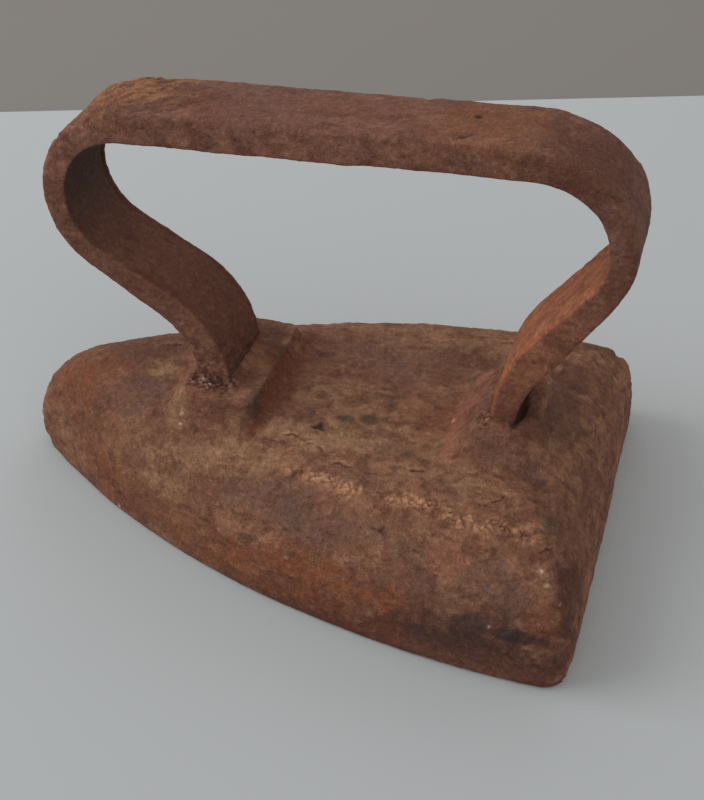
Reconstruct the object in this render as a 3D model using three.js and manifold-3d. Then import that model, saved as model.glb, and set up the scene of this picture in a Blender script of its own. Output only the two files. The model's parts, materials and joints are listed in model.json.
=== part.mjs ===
// A solid sad iron: a cast-iron body and a wrought-iron strap handle whose ends are cast into it.
// Millimetres. +X points to the nose, +Y to the left side, +Z up. The origin is in the middle of
// the sole, which the iron stands on.

import * as THREE from 'three';
import { mergeVertices } from 'three/addons/utils/BufferGeometryUtils.js';
import Module from 'manifold-3d';

const wasm = await Module();
wasm.setup();

// Sole, seen from above
const bodyLength = 152;
const bodyWidth = 103;
const noseRadius = 9.5;
const widestPlaceFromHeel = 8;
const heelCornerRadius = 5.4;

// Side wall of the body, from the sole up to the flat top
const bodyHeight = 31.5;
const soleArris = 0.8;
const soleBandHeight = 3.2;
const noseShoulder = 32;
const heelShoulder = 17;
const sideShoulder = 24;
const topNoseRadius = 5.6;
const topWidestPlaceFromHeel = 8.5;
const topCornerRadius = 3.8;
const shoulderFullness = 2.4;

// Strap handle: a flat bar with rounded edges, thicker along the grip than round the bends.
// Rises are above the flat top of the body.
const strapWidth = 21.4;
const gripThickness = 8.4;
const edgeSquareness = 5;
const gripRise = 70.8;
const gripFall = THREE.MathUtils.degToRad(2.2);

const frontLeg = {
  towards: 1,
  gripEnd: 35.7,
  easeRadius: 22,
  easeAngle: THREE.MathUtils.degToRad(31.7),
  bendRadius: 18.8,
  bendAngle: THREE.MathUtils.degToRad(148),
  bendThickness: 6.9,
  shinThickness: 8.5,
  footRadius: 22.2,
  footThickness: 9.6,
  plumbRise: 5.4,
};

const rearLeg = {
  towards: -1,
  gripEnd: 50.6,
  easeRadius: 30.2,
  easeAngle: THREE.MathUtils.degToRad(15.7),
  bendRadius: 18.1,
  bendAngle: THREE.MathUtils.degToRad(125.7),
  bendThickness: 6.9,
  shinThickness: 8.9,
  footRadius: 36,
  footThickness: 5.6,
  plumbRise: 5.2,
};

// Tangs: the hidden ends of the strap, hammered out wider so that the casting holds them
const ironUnderTangs = 16;
const tangSpread = 5;
const castingGap = 0.3;

// Bosses: the metal that stands up round each foot of the strap. Reaches are from the foot's
// middle to the edge of the boss's top, slopes from there down to the flat top of the body.
const frontBoss = {
  height: 5.2,
  reachAhead: 6.4,
  reachBehind: 12,
  halfWidth: 17.7,
  slopeAhead: 5.5,
  slopeBehind: 3.2,
  slopeBeside: 2.4,
  squareness: 6,
};

const rearBoss = {
  height: 8.6,
  reachAhead: 5.6,
  reachBehind: 8.2,
  halfWidth: 12.8,
  slopeAhead: 7,
  slopeBehind: 6,
  slopeBeside: 6,
  squareness: 3.4,
};

// A boss's flare ends a little below the flat top, and its root goes deeper into the body
const bossFlareDrop = 1.4;
const bossRootDepth = 7;

// How finely the curved forms are divided
const noseSteps = 7;
const sideSteps = 16;
const cornerSteps = 5;
const heelSteps = 5;
const shoulderSteps = 11;
const bossSteps = 6;
const bossSides = 32;
const easeSteps = 4;
const bendSteps = 12;
const straightSteps = 3;
const footSteps = 6;
const tangSteps = 3;
const gripSteps = 6;
const strapSides = 16;

// Points round an arc, without its first point
function arc(centreX, centreY, radius, from, to, steps) {
  const points = [];
  for (let step = 1; step <= steps; step += 1) {
    const angle = from + ((to - from) * step) / steps;
    points.push(new THREE.Vector2(
      centreX + radius * Math.cos(angle),
      centreY + radius * Math.sin(angle),
    ));
  }
  return points;
}

// A flat-iron outline: a round nose, two bowed sides, two small round corners and a straight heel
function ironOutline({ nose, heel, width, noseRound, widest, cornerRound }) {
  const half = width / 2;
  const reach = nose - noseRound - widest;
  const sideRadius = (reach ** 2 + half ** 2 - noseRound ** 2) / (width - 2 * noseRound);
  const sideCentreY = half - sideRadius;
  const noseTurn = Math.atan2(-sideCentreY, reach);
  const cornerX = heel + cornerRound;
  const cornerRun = cornerX - widest;
  const cornerY = sideCentreY + Math.sqrt((sideRadius - cornerRound) ** 2 - cornerRun ** 2);
  const cornerTurn = Math.atan2(cornerY - sideCentreY, cornerRun);

  const leftHalf = [
    new THREE.Vector2(nose, 0),
    ...arc(nose - noseRound, 0, noseRound, 0, noseTurn, noseSteps),
    ...arc(widest, sideCentreY, sideRadius, noseTurn, cornerTurn, sideSteps),
    ...arc(cornerX, cornerY, cornerRound, cornerTurn, Math.PI, cornerSteps),
  ];
  for (let step = 1; step <= heelSteps; step += 1) {
    leftHalf.push(new THREE.Vector2(heel, cornerY * (1 - step / heelSteps)));
  }
  const rightHalf = leftHalf.slice(1, -1).reverse().map((point) => new THREE.Vector2(point.x, -point.y));
  return [...leftHalf, ...rightHalf];
}

function atHeight(outline, height) {
  return outline.map((point) => new THREE.Vector3(point.x, point.y, height));
}

// A closed skin over rings of points, all with the same count, that run round anticlockwise
// when seen from the end of the last ring
function skin(rings) {
  const sides = rings[0].length;
  const last = rings.length - 1;
  const positions = [];
  const faces = [];
  rings.forEach((ring) => ring.forEach((point) => positions.push(point.x, point.y, point.z)));
  [rings[0], rings[last]].forEach((ring) => {
    const middle = new THREE.Vector3();
    ring.forEach((point) => middle.add(point));
    middle.divideScalar(sides);
    positions.push(middle.x, middle.y, middle.z);
  });
  const firstMiddle = rings.length * sides;
  const lastMiddle = firstMiddle + 1;
  for (let side = 0; side < sides; side += 1) {
    const next = (side + 1) % sides;
    faces.push(firstMiddle, next, side);
    faces.push(lastMiddle, last * sides + side, last * sides + next);
    for (let ring = 0; ring < last; ring += 1) {
      const low = ring * sides;
      const high = low + sides;
      faces.push(low + side, low + next, high + next);
      faces.push(low + side, high + next, high + side);
    }
  }
  const geometry = new THREE.BufferGeometry();
  geometry.setAttribute('position', new THREE.Float32BufferAttribute(positions, 3));
  geometry.setIndex(faces);
  return geometry;
}

function toSolid(geometry) {
  const bare = geometry.clone();
  bare.deleteAttribute('normal');
  bare.deleteAttribute('uv');
  const merged = mergeVertices(bare, 1e-4);
  return new wasm.Manifold(new wasm.Mesh({
    numProp: 3,
    vertProperties: new Float32Array(merged.attributes.position.array),
    triVerts: new Uint32Array(merged.index.array),
  }));
}

function toGeometry(solid) {
  const mesh = solid.getMesh();
  const geometry = new THREE.BufferGeometry();
  geometry.setAttribute('position', new THREE.BufferAttribute(mesh.vertProperties, 3));
  geometry.setIndex(new THREE.BufferAttribute(mesh.triVerts, 1));
  geometry.computeVertexNormals();
  return geometry;
}

// The body without its bosses: a plumb band along the sole, then walls that lean in and round
// over to the flat top
function pillowForm() {
  const soleOutline = (drawnIn) => ironOutline({
    nose: bodyLength / 2 - drawnIn,
    heel: -bodyLength / 2 + drawnIn,
    width: bodyWidth - 2 * drawnIn,
    noseRound: noseRadius - drawnIn,
    widest: -bodyLength / 2 + widestPlaceFromHeel,
    cornerRound: heelCornerRadius - drawnIn,
  });
  const foot = soleOutline(0);
  const top = ironOutline({
    nose: bodyLength / 2 - noseShoulder,
    heel: -bodyLength / 2 + heelShoulder,
    width: bodyWidth - 2 * sideShoulder,
    noseRound: topNoseRadius,
    widest: -bodyLength / 2 + heelShoulder - topWidestPlaceFromHeel,
    cornerRound: topCornerRadius,
  });
  const rings = [
    atHeight(soleOutline(soleArris), 0),
    atHeight(foot, soleArris),
    atHeight(foot, soleBandHeight),
  ];
  for (let step = 1; step <= shoulderSteps; step += 1) {
    const angle = (Math.PI / 2) * (step / shoulderSteps);
    const inward = 1 - Math.cos(angle) ** (2 / shoulderFullness);
    const upward = Math.sin(angle) ** (2 / shoulderFullness);
    const outline = foot.map((point, index) => point.clone().lerp(top[index], inward));
    rings.push(atHeight(outline, soleBandHeight + (bodyHeight - soleBandHeight) * upward));
  }
  return skin(rings);
}

// The strap's course down one leg, from the end of the grip to the end of its tang. A station has
// its place, the angle that the strap points below the level there, its thickness and its width.
function legStations(leg) {
  const stations = [];
  let x = leg.towards * leg.gripEnd;
  let z = bodyHeight + gripRise - x * Math.tan(gripFall);

  const stationAt = (angle, thickness, width) => stations.push({ x, z, angle, thickness, width });
  const turn = (radius, from, to, steps, thickness, thicknessAfter) => {
    const centreX = x - leg.towards * radius * Math.sin(from);
    const centreZ = z - radius * Math.cos(from);
    for (let step = 1; step <= steps; step += 1) {
      const angle = from + ((to - from) * step) / steps;
      x = centreX + leg.towards * radius * Math.sin(angle);
      z = centreZ + radius * Math.cos(angle);
      stationAt(angle, THREE.MathUtils.lerp(thickness, thicknessAfter, step / steps), strapWidth);
    }
  };
  const run = (angle, length, steps, thickness, thicknessAfter, widthAfter) => {
    const startX = x;
    const startZ = z;
    for (let step = 1; step <= steps; step += 1) {
      const share = step / steps;
      x = startX + leg.towards * length * share * Math.cos(angle);
      z = startZ - length * share * Math.sin(angle);
      stationAt(
        angle,
        THREE.MathUtils.lerp(thickness, thicknessAfter, share),
        THREE.MathUtils.lerp(strapWidth, widthAfter, share),
      );
    }
  };

  const gripAngle = leg.towards * gripFall;
  const plumb = Math.PI / 2;
  const plumbHeight = bodyHeight + leg.plumbRise;
  const footRise = leg.footRadius * (Math.cos(plumb) - Math.cos(leg.bendAngle));
  stationAt(gripAngle, gripThickness, strapWidth);
  turn(leg.easeRadius, gripAngle, leg.easeAngle, easeSteps, gripThickness, leg.bendThickness);
  turn(leg.bendRadius, leg.easeAngle, leg.bendAngle, bendSteps, leg.bendThickness, leg.bendThickness);
  const straight = (z - footRise - plumbHeight) / Math.sin(leg.bendAngle);
  run(leg.bendAngle, straight, straightSteps, leg.bendThickness, leg.shinThickness, strapWidth);
  turn(-leg.footRadius, leg.bendAngle, plumb, footSteps, leg.shinThickness, leg.footThickness);
  const tang = plumbHeight - ironUnderTangs;
  run(plumb, tang, tangSteps, leg.footThickness, leg.footThickness, strapWidth + tangSpread);
  return stations;
}

function footMiddle(leg) {
  const stations = legStations(leg);
  return stations[stations.length - 1].x;
}

// The strap's cross-section at one station, with its flat faces across the iron
function strapRing(station, growth) {
  const ring = [];
  const outX = Math.sin(station.angle);
  const outZ = Math.cos(station.angle);
  for (let side = 0; side < strapSides; side += 1) {
    const angle = (-2 * Math.PI * side) / strapSides;
    const power = 2 / edgeSquareness;
    const beside = Math.sign(Math.cos(angle)) * Math.abs(Math.cos(angle)) ** power;
    const outward = Math.sign(Math.sin(angle)) * Math.abs(Math.sin(angle)) ** power;
    const offset = outward * (station.thickness / 2 + growth);
    ring.push(new THREE.Vector3(
      station.x + outX * offset,
      beside * (station.width / 2 + growth),
      station.z + outZ * offset,
    ));
  }
  return ring;
}

// The whole strap, tang to tang. A growth above 0 gives the space that it needs in the casting.
function strapForm(growth) {
  const rings = [];
  const front = legStations(frontLeg).reverse();
  const rear = legStations(rearLeg);
  front[0].z -= growth;
  rear[rear.length - 1].z -= growth;
  front.forEach((station) => rings.push(strapRing(station, growth)));
  const gripStart = front[front.length - 1];
  for (let step = 1; step < gripSteps; step += 1) {
    rings.push(strapRing({
      x: THREE.MathUtils.lerp(gripStart.x, rear[0].x, step / gripSteps),
      z: THREE.MathUtils.lerp(gripStart.z, rear[0].z, step / gripSteps),
      angle: gripFall,
      thickness: gripThickness,
      width: strapWidth,
    }, growth));
  }
  rear.forEach((station) => rings.push(strapRing({ ...station, angle: -station.angle }, growth)));
  return skin(rings);
}

// One boss: a block with soft corners whose sides flare into the body
function bossForm(leg, boss) {
  const middleX = footMiddle(leg);
  const ring = (spread, height) => {
    const points = [];
    for (let side = 0; side < bossSides; side += 1) {
      const angle = (2 * Math.PI * side) / bossSides;
      const power = 2 / boss.squareness;
      const ahead = Math.sign(Math.cos(angle)) * Math.abs(Math.cos(angle)) ** power;
      const beside = Math.sign(Math.sin(angle)) * Math.abs(Math.sin(angle)) ** power;
      const reach = ahead > 0
        ? boss.reachAhead + boss.slopeAhead * spread
        : boss.reachBehind + boss.slopeBehind * spread;
      points.push(new THREE.Vector3(
        middleX + ahead * reach,
        beside * (boss.halfWidth + boss.slopeBeside * spread),
        height,
      ));
    }
    return points;
  };
  const rings = [ring(1, bodyHeight - bossRootDepth)];
  for (let step = 0; step <= bossSteps; step += 1) {
    const climb = step / bossSteps;
    const rise = (boss.height + bossFlareDrop) * THREE.MathUtils.smoothstep(climb, 0, 1);
    rings.push(ring(1 - climb, bodyHeight - bossFlareDrop + rise));
  }
  return skin(rings);
}

function castBody() {
  const casting = toSolid(pillowForm())
    .add(toSolid(bossForm(frontLeg, frontBoss)))
    .add(toSolid(bossForm(rearLeg, rearBoss)))
    .subtract(toSolid(strapForm(castingGap)));
  const material = new THREE.MeshStandardMaterial({ color: 0x6b4736, roughness: 0.92, metalness: 0.15 });
  const body = new THREE.Mesh(toGeometry(casting), material);
  body.name = 'cast_body';
  return body;
}

function strapHandle() {
  const material = new THREE.MeshStandardMaterial({ color: 0x6f4532, roughness: 0.9, metalness: 0.2 });
  const strap = new THREE.Mesh(toGeometry(toSolid(strapForm(0))), material);
  strap.name = 'strap_handle';
  return strap;
}

const sadIron = new THREE.Group();
sadIron.add(castBody());
sadIron.add(strapHandle());

export default sadIron;
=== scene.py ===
import json
import math
import bpy
import numpy as np
from mathutils import Matrix, Vector, noise

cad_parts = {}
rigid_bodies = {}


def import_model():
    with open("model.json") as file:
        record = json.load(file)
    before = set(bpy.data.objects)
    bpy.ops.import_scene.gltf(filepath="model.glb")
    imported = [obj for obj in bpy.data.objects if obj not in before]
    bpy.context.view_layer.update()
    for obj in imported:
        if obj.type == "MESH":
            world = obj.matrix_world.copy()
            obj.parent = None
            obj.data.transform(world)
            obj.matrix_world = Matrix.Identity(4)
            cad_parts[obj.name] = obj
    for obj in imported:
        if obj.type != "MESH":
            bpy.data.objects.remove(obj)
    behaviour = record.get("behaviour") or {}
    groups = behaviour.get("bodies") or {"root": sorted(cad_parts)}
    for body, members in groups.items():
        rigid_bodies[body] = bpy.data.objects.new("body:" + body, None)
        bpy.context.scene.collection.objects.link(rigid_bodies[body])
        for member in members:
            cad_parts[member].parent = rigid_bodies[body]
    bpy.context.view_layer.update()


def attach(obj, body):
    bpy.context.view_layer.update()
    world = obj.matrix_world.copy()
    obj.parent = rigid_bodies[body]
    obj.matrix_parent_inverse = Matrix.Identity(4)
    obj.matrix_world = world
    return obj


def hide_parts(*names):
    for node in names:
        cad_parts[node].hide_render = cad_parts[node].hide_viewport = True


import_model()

# Camera
# The photograph looks down on the iron's left side, with the nose to the left of the picture.
# Its place and lens are those at which the iron's outline falls as it does in the photograph.
picture_height = 800
focal_pixels = 1300.0
sensor_width = 36.0
camera_place = Vector((-0.0904, 0.2385, 0.2276))
camera_azimuth = math.radians(198.33)
camera_elevation = math.radians(38.28)
camera_roll = math.radians(-1.33)

camera_data = bpy.data.cameras.new("photo_camera")
camera_data.sensor_width = sensor_width
camera_data.lens = focal_pixels * sensor_width / picture_height
camera_data.clip_start = 0.01
camera_data.clip_end = 20.0
camera = bpy.data.objects.new("photo_camera", camera_data)
bpy.context.scene.collection.objects.link(camera)
camera.matrix_world = (
    Matrix.Translation(camera_place)
    @ Matrix.Rotation(camera_azimuth, 4, "Z")
    @ Matrix.Rotation(math.pi / 2 - camera_elevation, 4, "X")
    @ Matrix.Rotation(camera_roll, 4, "Z")
)
bpy.context.scene.camera = camera

# Strap handle
# One wrought-iron bar, flat on the grip and bent hot into two S-shaped legs. Its ends, the
# tangs, are hammered out wider and set in the mould before the body is poured round them.
MM = 0.001
body_height = 31.5 * MM
strap_width = 21.4 * MM
strap_corner = 1.7 * MM
grip_thickness = 8.4 * MM
grip_rise = 70.8 * MM
grip_fall = math.radians(2.2)
tang_depth = 16 * MM
tang_spread = 5 * MM
front_leg = {
    "towards": 1,
    "grip_end": 35.7 * MM,
    "ease_radius": 22 * MM,
    "ease_angle": math.radians(31.7),
    "bend_radius": 18.8 * MM,
    "bend_angle": math.radians(148),
    "bend_thickness": 6.9 * MM,
    "shin_thickness": 8.5 * MM,
    "foot_radius": 22.2 * MM,
    "foot_thickness": 9.6 * MM,
    "plumb_rise": 5.4 * MM,
}
rear_leg = {
    "towards": -1,
    "grip_end": 50.6 * MM,
    "ease_radius": 30.2 * MM,
    "ease_angle": math.radians(15.7),
    "bend_radius": 18.1 * MM,
    "bend_angle": math.radians(125.7),
    "bend_thickness": 6.9 * MM,
    "shin_thickness": 8.9 * MM,
    "foot_radius": 36 * MM,
    "foot_thickness": 5.6 * MM,
    "plumb_rise": 5.2 * MM,
}


def leg_course(leg):
    """The places down one leg from the grip's end to the tang's: x, z, slope, thickness, width."""
    side = leg["towards"]
    x = side * leg["grip_end"]
    z = body_height + grip_rise - x * math.tan(grip_fall)
    thin = leg["bend_thickness"]
    middling = leg["shin_thickness"]
    thick = leg["foot_thickness"]
    course = [(x, z, side * grip_fall, grip_thickness, strap_width)]

    def turn(radius, start, end, steps, thickness, thickness_after):
        nonlocal x, z
        middle_x = x - side * radius * math.sin(start)
        middle_z = z - radius * math.cos(start)
        for step in range(1, steps + 1):
            share = step / steps
            angle = start + (end - start) * share
            x = middle_x + side * radius * math.sin(angle)
            z = middle_z + radius * math.cos(angle)
            thickness_here = thickness + (thickness_after - thickness) * share
            course.append((x, z, angle, thickness_here, strap_width))

    def run(angle, length, steps, thickness, thickness_after, width_after):
        nonlocal x, z
        for step in range(1, steps + 1):
            share = step / steps
            x += side * length / steps * math.cos(angle)
            z -= length / steps * math.sin(angle)
            thickness_here = thickness + (thickness_after - thickness) * share
            width_here = strap_width + (width_after - strap_width) * share
            course.append((x, z, angle, thickness_here, width_here))

    foot_rise = -leg["foot_radius"] * math.cos(leg["bend_angle"])
    plumb_height = body_height + leg["plumb_rise"]
    turn(leg["ease_radius"], side * grip_fall, leg["ease_angle"], 6, grip_thickness, thin)
    turn(leg["bend_radius"], leg["ease_angle"], leg["bend_angle"], 16, thin, thin)
    straight = (z - foot_rise - plumb_height) / math.sin(leg["bend_angle"])
    run(leg["bend_angle"], straight, 5, thin, middling, strap_width)
    turn(-leg["foot_radius"], leg["bend_angle"], math.pi / 2, 8, middling, thick)
    run(math.pi / 2, plumb_height - tang_depth, 5, thick, thick, strap_width + tang_spread)
    return course


front_course = leg_course(front_leg)
rear_course = leg_course(rear_leg)
front_foot_x = front_course[-1][0]
rear_foot_x = rear_course[-1][0]

# The whole bar runs up from the front tang, back along the grip and down to the rear tang
course = [(x, z, slope - math.pi, thick, wide) for x, z, slope, thick, wide in front_course[::-1]]
grip_start = front_course[0]
grip_end = rear_course[0]
grip_steps = 8
for step in range(1, grip_steps):
    share = step / grip_steps
    x = grip_start[0] + (grip_end[0] - grip_start[0]) * share
    z = grip_start[1] + (grip_end[1] - grip_start[1]) * share
    course.append((x, z, grip_fall - math.pi, grip_thickness, strap_width))
course += [(x, z, -slope - math.pi, thick, wide) for x, z, slope, thick, wide in rear_course]


def use(piece):
    """Makes one piece the selected and active one."""
    bpy.ops.object.select_all(action="DESELECT")
    piece.select_set(True)
    bpy.context.view_layer.objects.active = piece


def add_square(name, size=1, place=(0, 0, 0)):
    """Adds a flat square, with nothing else selected."""
    bpy.ops.object.select_all(action="DESELECT")
    bpy.ops.mesh.primitive_plane_add(size=size, location=place)
    square = bpy.context.object
    square.name = name
    return square


def edit_whole(piece):
    """Goes into edit mode with all of the piece selected."""
    use(piece)
    bpy.ops.object.mode_set(mode="EDIT")
    bpy.ops.mesh.select_all(action="SELECT")


# The bar's section is drawn at the front tang and extruded along the whole course
x, z, angle, thick, wide = course[0]
strap = add_square("wrought_iron_strap")
edit_whole(strap)
bpy.ops.transform.resize(value=(thick, wide, 1), center_override=(0, 0, 0))
bpy.ops.mesh.bevel(offset=strap_corner, offset_type="OFFSET", segments=5, affect="VERTICES")
bpy.ops.transform.translate(value=(x, 0, z))
for x_next, z_next, angle_next, thick_next, wide_next in course[1:]:
    bpy.ops.mesh.extrude_region_move(TRANSFORM_OT_translate={"value": (x_next - x, 0, z_next - z)})
    bpy.ops.transform.rotate(
        value=-(angle_next - angle), orient_axis="Y", center_override=(x_next, 0, z_next)
    )
    bpy.ops.transform.resize(
        value=(thick_next / thick, wide_next / wide, 1),
        orient_type="GLOBAL",
        orient_matrix=Matrix.Rotation(angle_next - math.pi / 2, 3, "Y"),
        orient_matrix_type="GLOBAL",
        center_override=(x_next, 0, z_next),
    )
    x, z, angle, thick, wide = x_next, z_next, angle_next, thick_next, wide_next
bpy.ops.mesh.select_all(action="SELECT")
bpy.ops.mesh.normals_make_consistent(inside=False)
bpy.ops.object.mode_set(mode="OBJECT")


def add_modifier(piece, kind, **settings):
    """Adds a modifier with those settings and applies it."""
    use(piece)
    modifier = piece.modifiers.new(kind.title(), kind)
    for setting, value in settings.items():
        setattr(modifier, setting, value)
    bpy.ops.object.modifier_apply(modifier=modifier.name)


def soften(piece, group_name, weights, rounds):
    """Smooths the piece's points, each as far as its weight from 0 to 1 says."""
    group = piece.vertex_groups.new(name=group_name)
    for point, weight in enumerate(weights):
        if weight > 0:
            group.add([point], float(weight), "REPLACE")
    add_modifier(piece, "SMOOTH", factor=0.5, iterations=rounds, vertex_group=group_name)


def point_values(piece, kind):
    """Three numbers for each of the piece's points."""
    found = np.empty(3 * len(piece.data.vertices))
    piece.data.vertices.foreach_get(kind, found)
    return found.reshape(-1, 3)


def places(piece):
    """Where the piece's points are, in millimetres: forward, leftward and up."""
    return point_values(piece, "co") / MM


def facings(piece):
    """Which way the piece's surface faces at each point."""
    return point_values(piece, "normal")


def put(piece, new_places):
    """Puts the piece's points at those places, in millimetres."""
    piece.data.vertices.foreach_set("co", (new_places * MM).ravel())
    piece.data.update()


def push(piece, outward):
    """Moves each point along its normal by so many millimetres."""
    put(piece, places(piece) + facings(piece) * outward[:, None])


def paint(piece, mask, values):
    """Keeps a mask on the piece's points, which its material reads."""
    attribute = piece.data.attributes.new(mask, "FLOAT", "POINT")
    attribute.data.foreach_set("value", np.clip(values, 0, 1).astype(np.float32))


def smooth_step(low, high, values):
    """A smooth climb from 0 to 1 between two values, or a fall where the first is the higher."""
    share = np.clip((values - low) / (high - low), 0, 1)
    return share * share * (3 - 2 * share)


def bell(distance, width):
    """1 at no distance, and softly down to 0 by about twice the width."""
    return np.exp(-((distance / width) ** 2))


def cloud(points, size, seed, octaves=4):
    """Soft noise from about -1 to 1, with features of that size in millimetres."""
    shift = Vector((7.3, 3.1, 5.7)) * seed
    scaled = points / np.array(size)
    return np.array([noise.fractal(Vector(point) + shift, 0.8, 2.0, octaves) for point in scaled])


def turned(points, degrees):
    """The points turned about the upright axis, so that drawn-out noise lies aslant."""
    return points @ np.array(Matrix.Rotation(math.radians(degrees), 3, "Z")).T


def patch(points, place, reach, ragged):
    """1 inside an ellipsoid and 0 outside, with a ragged border. Sizes are in millimetres."""
    away = np.linalg.norm((points - np.array(place)) / np.array(reach), axis=1)
    return 1 - smooth_step(0.7, 1.3, away + ragged)


def spots(points, ragged, *marks):
    """Patches added up. Each mark is a patch's place, reach and strength."""
    return sum(strength * patch(points, place, reach, ragged) for place, reach, strength in marks)


def crack(points, course, width):
    """1 along a broken line of places and 0 beside it."""
    nearest = np.full(len(points), np.inf)
    for start, end in zip(course, course[1:]):
        start = np.array(start)
        step = np.array(end) - start
        along = np.clip((points - start) @ step / (step @ step), 0, 1)
        off_line = np.linalg.norm(points - start - along[:, None] * step, axis=1)
        nearest = np.minimum(nearest, off_line)
    return bell(nearest, width)


# The grip's edges are rounded for the hand and the legs' edges left square. Rust has roughened
# the whole bar with shallow pits, and left a coarse scale on the front bend. It fades out
# towards the hidden tangs, between two heights that are given in millimetres
strap_voxel = 0.5 * MM
buried_height = 26
bare_height = 33
add_modifier(strap, "SUBSURF", levels=1, render_levels=1)
add_modifier(strap, "REMESH", mode="VOXEL", voxel_size=strap_voxel)
forward, leftward, height = places(strap).T
by_grip = smooth_step(94, 99, height) * (1 - smooth_step(30, 46, np.abs(forward + 8)))
soften(strap, "worn_edges", 0.25 + 0.75 * by_grip, 16)

at = places(strap)
forward, leftward, height = at.T
facing_forward, facing_left, facing_up = facings(strap).T
out_of_casting = smooth_step(buried_height, bare_height, height)
waves = 0.2 * cloud(at, 17, 1, 2) + 0.1 * cloud(at, 5, 2, 3)
grain = 0.11 * cloud(at, 1.7, 3, 3)
facing_out = smooth_step(-0.3, 0.5, facing_forward + facing_up)
front_scale = facing_out * patch(at, (42, 0, 102), (24, 16, 14), 0.25 * cloud(at, 6, 4, 2))
flakes = smooth_step(-0.22, 0.22, cloud(turned(at, -38), (4.2, 1.3, 2.4), 5, 4))
front_foot = patch(at, (22, 0, 38), (9, 14, 10), 0.2 * cloud(at, 4, 8, 2))
lumps = smooth_step(-0.25, 0.25, cloud(at, (1.5, 1.5, 2.2), 9, 3))
pits = np.zeros(len(at))
for place, radius, depth in (
    ((-39.4, -2.5, 107.8), 1.0, 0.6),
    ((-39.4, 6.2, 107.6), 0.8, 0.4),
    ((-38.4, 7.2, 107.6), 0.8, 0.5),
    ((-37.2, 7.6, 107.6), 0.7, 0.4),
    ((-27, -10, 107), 1.0, 0.6),
    ((-12, 2.3, 106.7), 0.9, 0.3),
    ((2, -6, 106), 0.8, 0.4),
    ((9, 7, 105.6), 0.8, 0.4),
    ((-51, -3, 108), 1.2, 0.3),
    ((-62, 6, 105.6), 0.7, 0.4),
):
    pits += depth * bell(np.linalg.norm(at - np.array(place), axis=1), radius)
scores = crack(at, ((-66, 7.7, 103.5), (-70, 8.3, 99.8), (-71.8, 8.1, 97.9), (-75.3, 5.9, 90.3)), 0.4)
scores += crack(at, ((-69.5, 10, 94), (-70.5, 10.4, 91.5)), 0.4)
full_bend = patch(at, (48.7, -10, 98.5), (4.5, 6, 4), 0)
worn_bend = patch(at, (53, -9, 95), (4, 7, 5), 0) + patch(at, (37, -10, 105), (7, 6, 4), 0)
full_rear_bend = patch(at, (-61, -9, 106), (9, 9, 5), 0)
worn_under = patch(at, (-38, 0, 98), (22, 18, 6), 0) * smooth_step(0.2, 0.8, -facing_up)
worn_behind = patch(at, (-76, 0, 82), (6, 18, 14), 0) * smooth_step(0.3, 0.8, -facing_forward)
to_far_edge = smooth_step(-4, -9, leftward)
front_inside = smooth_step(0.3, 0.8, -facing_forward) * (forward > 8)
rear_inside = smooth_step(0.3, 0.8, facing_forward) * (forward < -40)
worn_inside = front_inside * (0.75 + 0.4 * to_far_edge)
worn_inside += 0.2 * rear_inside * smooth_step(52, 60, height)
worn_far_edge = to_far_edge * smooth_step(0.2, 0.7, facing_up) * (height > 98)
relief = (
    waves
    + grain
    + 0.4 * front_scale * (flakes - 0.5)
    + 0.3 * front_foot * (lumps - 0.5)
    + 0.35 * full_bend
    + 0.4 * full_rear_bend
    - pits
    - 0.12 * scores
    - 0.45 * worn_bend
    - 1.2 * worn_under
    - 0.2 * worn_behind
    - worn_inside
    - 0.2 * worn_far_edge
    - 0.2
)
push(strap, relief * out_of_casting)

# Where each colour of the rust lies, with a painted highlight and painted shade, as masks on the
# strap's points
ragged = 0.4 * cloud(at, 8, 6, 3) + 0.25 * cloud(at, 2, 7, 3)
on_top = smooth_step(0.2, 0.7, facing_up)
on_side = smooth_step(0.3, 0.8, facing_left)
behind = forward < -8
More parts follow.
